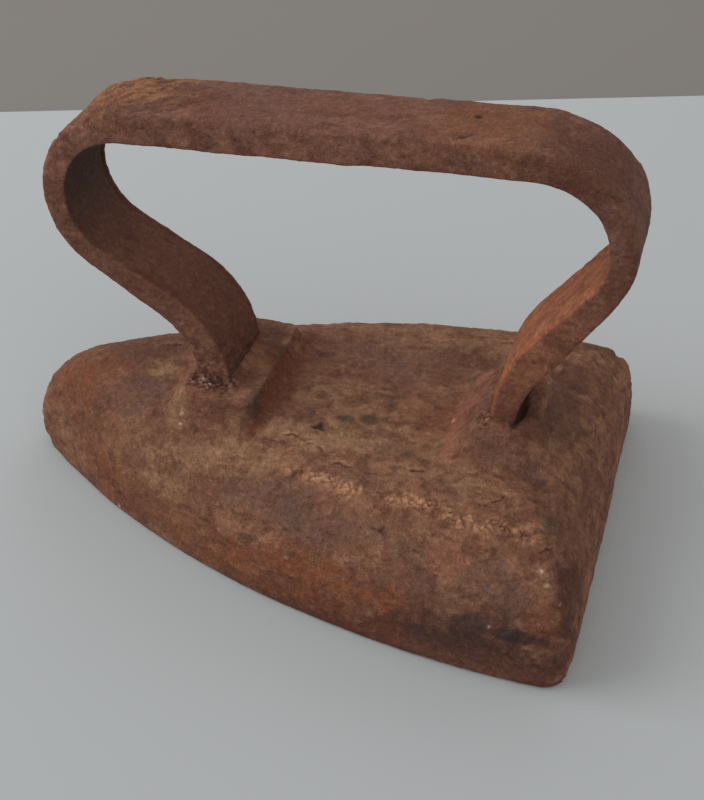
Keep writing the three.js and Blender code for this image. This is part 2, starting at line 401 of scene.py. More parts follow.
# Faces toward the nose and toward the heel: below, the first takes a painted highlight and the second
# painted shade
to_nose = smooth_step(0.15, 0.6, facing_forward + 0.12 * cloud(at, 3, 10, 3)) * behind
to_heel = smooth_step(0.15, 0.6, -facing_forward) * (forward > 8)
masks = {
    "tan": on_top * spots(at, ragged, ((42, -2, 104), (14, 10, 10), 0.9)) * (0.45 + 0.55 * flakes),
    "plum": spots(
        at, ragged,
        # Partly painted shade: this spot and the umber spots on the grip's top below darken the top
        ((4, 2, 106), (32, 10, 4), 0.55),
        ((-70, 0, 94), (13, 14, 16), 0.7),
        ((-51, 10.7, 44), (6, 3, 11), 0.55),
    ),
    "orange": spots(
        at, ragged,
        ((-42, 0, 107), (13, 10, 4), 0.7),
        ((20, 3, 105), (6, 7, 4), 0.4),
        ((-12, 0, 107), (16, 9, 4), 0.25),
    ),
    # Orange rust with a painted highlight: brighter on the rear leg's faces toward the nose and the
    # window lamp
    "orange_and_highlight": (
        to_nose * (height < 84)
        + 0.3 * behind * on_side * smooth_step(80, 62, height + 6 * ragged)
    ),
    # Painted shade on the front leg's faces toward the heel, away from the window lamp, and umber rust
    # patches besides
    "umber_and_shade": to_heel * 0.75 + spots(
        at, ragged,
        ((-62, 2, 103), (11, 12, 6), 0.6),
        ((-52, 10.7, 42), (5, 3, 8), 0.3),
        ((54, 10.7, 82), (4, 3, 5), 0.5),
        ((34, 10.7, 64), (9, 3, 9), 0.3),
        ((-74, 8, 78), (6, 6, 8), 0.45),
        # Partly painted shade, darkening the grip's top
        ((-44, 0, 107), (17, 10, 4), 0.3),
        ((0, 0, 107), (24, 10, 4), 0.15),
    ),
    # Painted shade: darker high on the front leg's faces toward the heel, inside the front bend
    "painted_bend_shade": to_heel * smooth_step(64, 84, height + 5 * ragged),
    "rose": spots(
        at, ragged,
        ((52, 11, 92), (9, 3, 12), 0.4),
        ((2, 11, 101), (44, 3, 5), 0.4),
        ((-74, 8, 84), (6, 6, 6), 0.2),
    ),
    "pale": 0.6 * np.clip(scores, 0, 1) + 0.25 * front_foot * on_side * lumps,
    "pit": (
        smooth_step(0.1, 0.5, pits)
        + 0.3 * front_scale * smooth_step(0.35, 0.05, flakes)
        + 0.3 * front_foot * (1 - lumps)
    ),
}
for mask, values in masks.items():
    paint(strap, mask, values)


def choose(piece, chosen):
    """Goes into edit mode with those points selected."""
    use(piece)
    bpy.ops.object.mode_set(mode="EDIT")
    bpy.ops.mesh.select_mode(type="VERT")
    bpy.ops.mesh.select_all(action="DESELECT")
    bpy.ops.object.mode_set(mode="OBJECT")
    piece.data.vertices.foreach_set("select", chosen)
    bpy.ops.object.mode_set(mode="EDIT")


# The tangs are out of sight inside the casting, so their faces are left large
choose(strap, height < buried_height)
bpy.ops.mesh.dissolve_limited(angle_limit=math.radians(3))
bpy.ops.object.mode_set(mode="OBJECT")
bpy.ops.object.shade_smooth()


def srgb(red, green, blue):
    """A colour seen as three numbers up to 255, as the shader takes it."""
    parts = [part / 255 for part in (red, green, blue)]
    return (*[p / 12.92 if p < 0.04045 else ((p + 0.055) / 1.055) ** 2.4 for p in parts], 1)


def add_node(tree, kind, inputs, **settings):
    """Adds a node with those settings, and sets its sockets or joins them to other nodes'."""
    node = tree.nodes.new(kind)
    for setting, value in settings.items():
        setattr(node, setting, value)
    for socket, value in inputs.items():
        if isinstance(value, bpy.types.NodeSocket):
            tree.links.new(value, node.inputs[socket])
        else:
            node.inputs[socket].default_value = value
    return node


def mixed(tree, share, first, second):
    """The colour between two, by a share."""
    sockets = {0: share, 6: first, 7: second}
    return add_node(tree, "ShaderNodeMix", sockets, data_type="RGBA").outputs[2]


def reckon(tree, operation, first, second):
    """A sum on two values."""
    return add_node(tree, "ShaderNodeMath", {0: first, 1: second}, operation=operation).outputs[0]


def vector_sum(tree, operation, first, second):
    """A sum on two colours or places."""
    sockets = {0: first, 1: second}
    return add_node(tree, "ShaderNodeVectorMath", sockets, operation=operation).outputs[0]


def ranged(tree, value, low, high, to_low=0.0, to_high=1.0):
    """Spreads a value from one range to another."""
    sockets = {"Value": value, "From Min": low, "From Max": high, "To Min": to_low, "To Max": to_high}
    return add_node(tree, "ShaderNodeMapRange", sockets).outputs[0]


# Rust over both pieces: blotches of three browns with thin light veins, and a tone for the
# grain of the scale, whose bright grains are greyer and whose dark ones are redder
rust = bpy.data.node_groups.new("Rust mottle", "ShaderNodeTree")
for way, socket, kind in (
    ("INPUT", "Place", "NodeSocketVector"),
    ("INPUT", "Light", "NodeSocketColor"),
    ("INPUT", "Middle", "NodeSocketColor"),
    ("INPUT", "Shade", "NodeSocketColor"),
    ("OUTPUT", "Color", "NodeSocketColor"),
    ("OUTPUT", "Tone", "NodeSocketColor"),
    ("OUTPUT", "Mottle", "NodeSocketFloat"),
    ("OUTPUT", "Grain", "NodeSocketFloat"),
):
    rust.interface.new_socket(socket, in_out=way, socket_type=kind)
rust_in = rust.nodes.new("NodeGroupInput").outputs


def rust_noise(scale, detail, roughness, distortion=0.0, stretch=1.0):
    """Noise that is drawn out along the iron by the stretch."""
    sockets = {
        "Vector": vector_sum(rust, "MULTIPLY", rust_in["Place"], (1 / stretch, 1, 1)),
        "Scale": scale,
        "Detail": detail,
        "Roughness": roughness,
        "Distortion": distortion,
    }
    return add_node(rust, "ShaderNodeTexNoise", sockets).outputs["Fac"]


blotch = rust_noise(78, 6, 0.62, 0.8, 1.4)
mottle = rust_noise(270, 5, 0.62, 0.6, 1.4)
vein = rust_noise(155, 4, 0.55, 1.6, 1.4)
speck = rust_noise(780, 3, 0.62)
grit = rust_noise(2300, 2, 0.6)
rust_colour = mixed(rust, ranged(rust, blotch, 0.45, 0.56), rust_in["Middle"], rust_in["Light"])
rust_colour = mixed(rust, ranged(rust, mottle, 0.49, 0.66, 0, 0.75), rust_colour, rust_in["Shade"])
off_vein = reckon(rust, "ABSOLUTE", reckon(rust, "SUBTRACT", vein, 0.5), 0)
rust_colour = mixed(rust, ranged(rust, off_vein, 0.026, 0.004, 0, 0.5), rust_colour, rust_in["Light"])
speck_tone = reckon(
    rust, "ADD", ranged(rust, speck, 0.3, 0.7, -0.27, 0.27), ranged(rust, speck, 0.6, 0.67, 0, 0.25)
)
grit_tone = reckon(
    rust, "ADD", ranged(rust, grit, 0.3, 0.7, -0.26, 0.26), ranged(rust, mottle, 0.3, 0.7, 0.18, -0.18)
)
fine = reckon(rust, "ADD", speck_tone, grit_tone)
tone_colour = {
    channel: reckon(rust, "MULTIPLY", fine, strength)
    for channel, strength in enumerate((0.75, 1.0, 1.2))
}
tone = add_node(rust, "ShaderNodeCombineXYZ", tone_colour)
coarse_grain = reckon(rust, "ADD", reckon(rust, "MULTIPLY", mottle, 0.8), speck)
fine_grain = reckon(rust, "MULTIPLY", grit, 0.5)
rust_results = {
    "Color": rust_colour,
    "Tone": vector_sum(rust, "ADD", tone.outputs[0], (1, 1, 1)),
    "Mottle": mottle,
    "Grain": reckon(rust, "ADD", coarse_grain, fine_grain),
}
add_node(rust, "NodeGroupOutput", rust_results)


def rusty_material(name, light, middle, shade, patches):
    """Rust with painted patches, among them painted shade and highlights: each is a mask's name, its
    colour and how far it is broken up.
    """
    material = bpy.data.materials.new(name)
    material.use_nodes = True
    tree = material.node_tree
    place = tree.nodes.new("ShaderNodeTexCoord").outputs["Object"]
    sockets = {"Place": place, "Light": light, "Middle": middle, "Shade": shade}
    base = add_node(tree, "ShaderNodeGroup", sockets, node_tree=rust)
    colour = base.outputs["Color"]
    grain = base.outputs["Grain"]
    broken = ranged(tree, base.outputs["Mottle"], 0.58, 0.44)
    for mask, tint, brokenness in patches:
        cover = add_node(tree, "ShaderNodeAttribute", {}, attribute_name=mask)
        left = ranged(tree, broken, 0, 1, 1 - brokenness, 1)
        share = reckon(tree, "MULTIPLY", cover.outputs["Fac"], left)
        colour = mixed(tree, share, colour, tint)
    toned = vector_sum(tree, "MULTIPLY", colour, base.outputs["Tone"])
    relief = add_node(tree, "ShaderNodeBump", {"Strength": 1.0, "Distance": 0.5 * MM, "Height": grain})
    shader = tree.nodes["Principled BSDF"]
    shader.inputs["Specular IOR Level"].default_value = 0.25
    tree.links.new(toned, shader.inputs["Base Color"])
    tree.links.new(ranged(tree, grain, 0.8, 1.5, 0.82, 0.95), shader.inputs["Roughness"])
    tree.links.new(relief.outputs[0], shader.inputs["Normal"])
    return material


strap.data.materials.append(
    rusty_material(
        "rusty_wrought_iron",
        light=srgb(120, 82, 63),
        middle=srgb(108, 71, 57),
        shade=srgb(90, 60, 50),
        patches=(
            ("plum", srgb(100, 69, 60), 0.5),
            ("rose", srgb(134, 92, 76), 0.6),
            ("orange", srgb(124, 76, 48), 0.5),
            # orange rust with a painted highlight
            ("orange_and_highlight", srgb(158, 97, 66), 0.4),
            # umber rust and painted shade
            ("umber_and_shade", srgb(82, 47, 35), 0.4),
            # painted shade inside the front bend
            ("painted_bend_shade", srgb(66, 51, 46), 0.3),
            ("tan", srgb(142, 98, 64), 0.6),
            ("pale", srgb(168, 124, 96), 0.6),
            ("pit", srgb(40, 27, 24), 0.2),
        ),
    )
)
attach(strap, "root")
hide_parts("strap_handle")

# Cast body
# One iron casting, poured face down in a sand mould: a flat sole with a thin band round its
# edge, walls that lean in and roll over to a flat top, and two bosses for the handle's feet.
sole_length = 152 * MM
sole_width = 103 * MM
nose_radius = 9.5 * MM
heel_corner_radius = 5.4 * MM
widest_from_heel = 8 * MM
sole_arris = 0.8 * MM
sole_band = 3.2 * MM
nose_shoulder = 32 * MM
heel_shoulder = 17 * MM
side_shoulder = 24 * MM
shoulder_fullness = 2.4
shoulder_rings = 14
body_voxel = 0.6 * MM

nose_x = sole_length / 2
heel_x = -sole_length / 2
widest_x = heel_x + widest_from_heel
half_width = sole_width / 2
side_reach = nose_x - nose_radius - widest_x
side_radius = (side_reach ** 2 + half_width ** 2 - nose_radius ** 2) / (sole_width - 2 * nose_radius)
side_y = half_width - side_radius
nose_turn = math.atan2(-side_y, side_reach)
corner_x = heel_x + heel_corner_radius
corner_y = side_y + math.sqrt((side_radius - heel_corner_radius) ** 2 - (corner_x - widest_x) ** 2)
side_turn = math.atan2(corner_y - side_y, corner_x - widest_x) - nose_turn
corner_turn = math.pi - nose_turn - side_turn

# Half the sole's outline runs from the nose to the heel: three arcs and the straight heel. It is
# mirrored, filled and raised ring by ring
body = add_square("cast_iron_body", MM, (nose_x, 0, 0))
bpy.ops.object.transform_apply(location=True, rotation=True, scale=True)
edit_whole(body)
bpy.ops.mesh.merge(type="CENTER")
for steps, turn, middle in (
    (7, nose_turn, (nose_x - nose_radius, 0, 0)),
    (24, side_turn, (widest_x, side_y, 0)),
    (6, corner_turn, (corner_x, corner_y, 0)),
):
    bpy.ops.mesh.spin(steps=steps, angle=turn, center=middle, axis=(0, 0, -1))
bpy.ops.mesh.extrude_region_move(TRANSFORM_OT_translate={"value": (0, -corner_y, 0)})
bpy.ops.mesh.select_all(action="SELECT")
bpy.ops.mesh.duplicate()
bpy.ops.transform.resize(value=(1, -1, 1), center_override=(0, 0, 0))
bpy.ops.mesh.select_all(action="SELECT")
bpy.ops.mesh.remove_doubles(threshold=0.01 * MM)
bpy.ops.mesh.edge_face_add()


def raise_ring(scale_x, scale_y, shift_x, rise):
    """Extrudes the selected face upwards and draws it in about the iron's middle."""
    bpy.ops.mesh.extrude_region_move(TRANSFORM_OT_translate={"value": (shift_x, 0, rise)})
    bpy.ops.transform.resize(value=(scale_x, scale_y, 1), center_override=(0, 0, 0))


arris_x = 1 - 2 * sole_arris / sole_length
arris_y = 1 - 2 * sole_arris / sole_width
bpy.ops.transform.resize(value=(arris_x, arris_y, 1), center_override=(0, 0, 0))
raise_ring(1 / arris_x, 1 / arris_y, 0, sole_arris)
raise_ring(1, 1, 0, sole_band - sole_arris)
top_x = 1 - (nose_shoulder + heel_shoulder) / sole_length
top_y = 1 - 2 * side_shoulder / sole_width
top_shift = (heel_shoulder - nose_shoulder) / 2
inward_before = 0
upward_before = 0
for ring in range(1, shoulder_rings + 1):
    angle = math.pi / 2 * ring / shoulder_rings
    inward = 1 - math.cos(angle) ** (2 / shoulder_fullness)
    upward = math.sin(angle) ** (2 / shoulder_fullness)
    narrow_x = (1 + (top_x - 1) * inward) / (1 + (top_x - 1) * inward_before)
    narrow_y = (1 + (top_y - 1) * inward) / (1 + (top_y - 1) * inward_before)
    shift = top_shift * (inward / narrow_x - inward_before)
    raise_ring(narrow_x, narrow_y, shift, (body_height - sole_band) * (upward - upward_before))
    inward_before = inward
    upward_before = upward
bpy.ops.object.mode_set(mode="OBJECT")

# The bosses are metal that stands up round each foot of the handle: a square-edged block in
# front and a higher, rounder mound behind, both run out of the same pour
boss_flare_drop = 1.4 * MM
boss_root = 7 * MM


def pour_boss(name, foot_x, ahead, behind, beside, rise, corner, flares):
    """A block with round corners whose sides flare out downwards into the body."""
    flare_ahead, flare_behind, flare_beside = flares
    flare_along = flare_ahead + flare_behind
    length = ahead + behind
    middle = foot_x + (ahead - behind) / 2
    lean = (flare_ahead - flare_behind) / 2
    boss = add_square(name)
    edit_whole(boss)
    bpy.ops.transform.resize(value=(length, 2 * beside, 1), center_override=(0, 0, 0))
    bpy.ops.transform.translate(value=(middle, 0, body_height + rise))
    bpy.ops.mesh.bevel(offset=corner, offset_type="OFFSET", segments=5, affect="VERTICES")
    bpy.ops.mesh.flip_normals()
    steps = 10
    drop = (rise + boss_root) / steps
    spread_before = 0
    for step in range(1, steps + 1):
        climb = max(0, 1 - drop * step / (rise + boss_flare_drop))
        spread = 1 - climb * climb * (3 - 2 * climb)
        bpy.ops.mesh.extrude_region_move(
            TRANSFORM_OT_translate={"value": (lean * (spread - spread_before), 0, -drop)}
        )
        wider_x = (length + flare_along * spread) / (length + flare_along * spread_before)
        wider_y = (beside + flare_beside * spread) / (beside + flare_beside * spread_before)
        pivot = (middle + lean * spread, 0, 0)
        bpy.ops.transform.resize(value=(wider_x, wider_y, 1), center_override=pivot)
        spread_before = spread
    bpy.ops.object.mode_set(mode="OBJECT")
    return boss


front_boss = pour_boss(
    "front_boss",
    front_foot_x,
    ahead=6.4 * MM,
    behind=12 * MM,
    beside=17.7 * MM,
    rise=5.2 * MM,
    corner=2.2 * MM,
    flares=(5.5 * MM, 3.2 * MM, 2.4 * MM),
)
rear_boss = pour_boss(
    "rear_boss",
    rear_foot_x,
    ahead=5.6 * MM,
    behind=8.2 * MM,
    beside=12.8 * MM,
    rise=8.6 * MM,
    corner=5 * MM,
    flares=(7 * MM, 6 * MM, 6 * MM),
)
use(body)
front_boss.select_set(True)
rear_boss.select_set(True)
bpy.ops.object.join()
edit_whole(body)
bpy.ops.mesh.normals_make_consistent(inside=False)
bpy.ops.object.mode_set(mode="OBJECT")
add_modifier(body, "REMESH", mode="VOXEL", voxel_size=body_voxel)

# Sand-cast metal has no sharp inner corners: the bosses' roots are drawn into fillets, the
# rear mound and the front block's nose side most of all
at = places(body)
front_x = front_foot_x / MM
rear_x = rear_foot_x / MM
by_roots = 1 - smooth_step(1.2, 2.6, np.abs(at[:, 2] - 31.9))
by_front = patch(at, (front_x - 1, 0, 31), (22, 28, 8), 0)
by_nose_side = patch(at, (front_x + 11, 0, 33), (8, 24, 9), 0)
by_rear = patch(at, (rear_x, 0, 33), (22, 28, 14), 0)
soften(body, "fillets", np.clip(by_roots * by_front + by_nose_side + by_rear, 0, 1), 30)

# The sole is flat, so its faces are joined into one, all but three rings by its edge
rings_left = 3
choose(body, places(body)[:, 2] < 0.05)
bpy.ops.mesh.select_mode(type="FACE")
for ring in range(rings_left):
    bpy.ops.mesh.select_less()
bpy.ops.mesh.dissolve_faces()
bpy.ops.object.mode_set(mode="OBJECT")

# Rust relief: soft waves, grains and short streaks, a grainy ridge along the near shoulder,
# crusts round the feet, flaking layers on the heel, a few cracks, chips and worn corners
ridge_course = (
    (-6, 30, 30),
    (-14, 31, 30.3),
    (-22, 32.5, 30.4),
    (-38, 33, 30.8),
    (-50, 35.3, 30.4),
    (-64, 35.6, 30.2),
)
crack_courses = (
    ((-0.5, 19.3, 31.5), (-2.6, 18.7, 31.5), (-4.4, 19.1, 31.5), (-6.2, 20.5, 31.5)),
    ((-7.4, 21.0, 31.5), (-9.6, 21.3, 31.5), (-11.6, 22.8, 31.4)),
    ((-26.7, 39, 27.3), (-28.6, 39.8, 27.1), (-30.5, 39.7, 27.3), (-31.6, 38.4, 28.3), (-33, 38, 28.6)),
    (
        (-50.4, 30.2, 31.4), (-52.6, 28.9, 31.5), (-54.4, 27.6, 31.5),
        (-54.9, 25.6, 31.5), (-56, 24.2, 31.5),
    ),
    ((-4.6, 35.4, 26.6), (-6.6, 35.9, 26.4), (-7.8, 35.1, 26.9)),
    ((-14.5, 26, 31.3), (-17, 25.6, 31.4), (-19.5, 26.8, 31.3)),
    ((44, -4, 30.8), (41, -6.4, 31.2), (37, -7.2, 31.4)),
    ((52, -2, 28.7), (49.5, -4.4, 29.2)),
    ((-66, 38.5, 29), (-68, 36.5, 28.9), (-68.6, 34, 29.2)),
    ((-30, 22.5, 31.5), (-33, 23.4, 31.5), (-35.5, 22.6, 31.5)),
    ((-70.5, -14, 26), (-70, -10, 26.5), (-71, -7, 25.6)),
)


def foot_gap(points, foot_x, leg):
    """How far the points are from a leg's foot, seen from above, in millimetres."""
    lengthwise = np.abs(points[:, 0] - foot_x) - leg["foot_thickness"] / MM / 2
    sideways = np.abs(points[:, 1]) - strap_width / MM / 2
    return np.hypot(np.maximum(lengthwise, 0), np.maximum(sideways, 0))


def wandering(points, far, size, seed, octaves):
    """The points shifted by noise in plan, so that a straight line on them wanders."""
    sideways = [cloud(points, size, seed + axis, octaves) for axis in range(2)]
    return points + far * np.stack([*sideways, np.zeros(len(points))], axis=1)


# The mesh is finer along the ridge and the cracks, and at the crusts and the chip
at = places(body)
forward, leftward, height = at.T
fine_places = crack(at, ridge_course, 2.6)
for course in crack_courses:
    fine_places += crack(at, course, 1.2)
fine_places += bell(foot_gap(at, front_x, front_leg), 3.4) * (height > 34) * (leftward > 8)
fine_places += patch(at, (rear_x + 2, 10, 38), (8, 8, 5), 0)
fine_places += patch(at, (-7.8, 14.5, 31.5), (4, 3, 2), 0)
choose(body, fine_places > 0.5)
bpy.ops.mesh.subdivide(number_cuts=1)
bpy.ops.object.mode_set(mode="OBJECT")

at = places(body)
forward, leftward, height = at.T
waves = 0.3 * cloud(at, 26, 11, 3) + 0.2 * cloud(at, 8, 12, 4)
grain = 0.19 * cloud(at, 2.6, 13, 4)
streaks = cloud(turned(at, 12), (9, 1.8, 3), 27, 3)
ridge = crack(wandering(at, 0.8, 3.5, 15, 3), ridge_course, 1.8)
ridge *= smooth_step(-0.6, -0.1, cloud(at, 5.5, 24, 3))
ridge *= smooth_step(2, -36, forward) * 0.5 + 0.5
ridge_grains = smooth_step(0.0, 0.3, np.abs(cloud(at, 2.1, 17, 2)))
front_foot_gap = foot_gap(at, front_x, front_leg)
rear_foot_gap = foot_gap(at, rear_x, rear_leg)
above_top = smooth_step(31, 33, height)
near_side = smooth_step(7, 10.5, leftward)
by_front_foot = patch(at, (21, 12.5, 37), (6.5, 3, 3), 0.25 * streaks)
front_crust = above_top * near_side * np.clip(0.7 * bell(front_foot_gap, 1.6) + by_front_foot, 0, 1)
rear_crust = above_top * patch(at, (rear_x + 4, 10.5, 41), (2, 2.6, 4), 0.25 * streaks)
crust_grains = smooth_step(-0.45, 0.45, cloud(at, (1.1, 0.7, 0.9), 18, 3))
foot_fillets = above_top * (
    bell(front_foot_gap, 1.1) + 0.5 * bell(rear_foot_gap, 1.6) * (forward > rear_x)
)
heel_layers = smooth_step(-62, -70, forward)
layers = cloud(at, (2.2, 16, 2.0), 19, 3)
band_groove = bell(height - 4.2 - 0.5 * cloud(at, 14, 26, 2), 0.6)
broken = smooth_step(-0.5, 0.1, cloud(at, 1.6, 28, 2))
crack_places = wandering(at, 0.35, 1.3, 29, 2)
cracks = sum(crack(crack_places, course, 0.3) for course in crack_courses) * broken
lip_places = crack_places + np.array((0, 0.55, 0))
crack_lips = sum(crack(lip_places, course, 0.4) for course in crack_courses)
chip_sides = [
    (forward + 7.8) * math.cos(math.radians(turn)) + (leftward - 14.4) * math.sin(math.radians(turn))
    for turn in (80, 205, 318)
]
chip = smooth_step(1.25, 0.75, np.max(chip_sides, axis=0) + 0.15 * streaks) * (height > 30)
knock = patch(at, (-71, -41, 29.3), (2.4, 3.8, 2.8), 0.15 * cloud(at, 4, 21, 2))
worn_corner = patch(at, (-77, 50, 2), (6, 7, 10), 0)
worn_nose = patch(at, (75, 5, 0), (9, 9, 4.4), 0)
full_nose = patch(at, (76, 4, 8), (8, 8, 6), 0)
full_far_side = patch(at, (-38, -31, 29), (26, 9, 6), 0)
full_near_edge = patch(at, (30, 36, 3), (40, 20, 7), 0) * (leftward > 0)
full_far_corner = patch(at, (-76, -40, 22), (5, 7, 5), 0)
full_heel = patch(at, (-78, 10, 20), (4, 32, 8), 0)
rough_root = patch(at, (29, 8, 33.5), (6, 12, 5), 0.3 * streaks)
scabs = smooth_step(0.03, 0.16, cloud(at, (11, 6, 6), 31, 5))
hollow_x = rear_x - 3.1
hollow = patch(at, (hollow_x, 5, 39.5), (1.5, 7, 5), 0.15 * streaks)
scattered = np.random.default_rng(8)
pock_count = 130
pock_places = at[scattered.choice(np.flatnonzero(height > 4), pock_count, replace=False)]
pocks = np.zeros(len(at))
for place in pock_places:
    radius = scattered.uniform(0.45, 0.95)
    near = np.flatnonzero(np.abs(at - place).max(axis=1) < 3 * radius)
    pocks[near] += bell(np.linalg.norm(at[near] - place, axis=1), radius)
lump = patch(at, (-58.2, -23.4, 33), (1.1, 1.5, 5), 0)
upper = (0.25 + 0.75 * smooth_step(3, 10, height)) * (1 - 0.4 * above_top)
relief = (
    upper * (waves + grain + 0.16 * streaks + 0.16 * scabs - 0.25 * pocks)
    - 1.25 * hollow
    + ridge * (0.1 + 0.75 * ridge_grains)
    + front_crust * (0.55 * crust_grains - 0.1)
    + rear_crust * (0.7 * crust_grains - 0.2)
    + 0.8 * foot_fillets
    + 0.8 * full_far_side
    + 0.35 * full_near_edge
    + 0.8 * full_far_corner
    + 0.2 * full_heel
    + rough_root * (0.5 * cloud(at, 3.4, 32, 3) + 0.3 * crust_grains - 0.1)
    + 0.14 * above_top * cloud(at, 1.4, 33, 2)
    + 0.7 * lump
    + 0.42 * heel_layers * layers
    - 0.06 * band_groove
    - 0.4 * cracks
    + 0.12 * crack_lips
    - 0.8 * chip
    - 1.6 * knock
    - 0.9 * worn_corner
    - 0.6 * worn_nose
    + 0.5 * full_nose
    - 0.16
)

# The sole takes only shallow hollows, and no point hangs below it
on_sole = height < 0.325
push(body, np.where(on_sole, 0.3 * np.minimum(relief, 0), relief))
low = places(body)
low[:, 2] = np.maximum(low[:, 2], 0)
put(body, low)

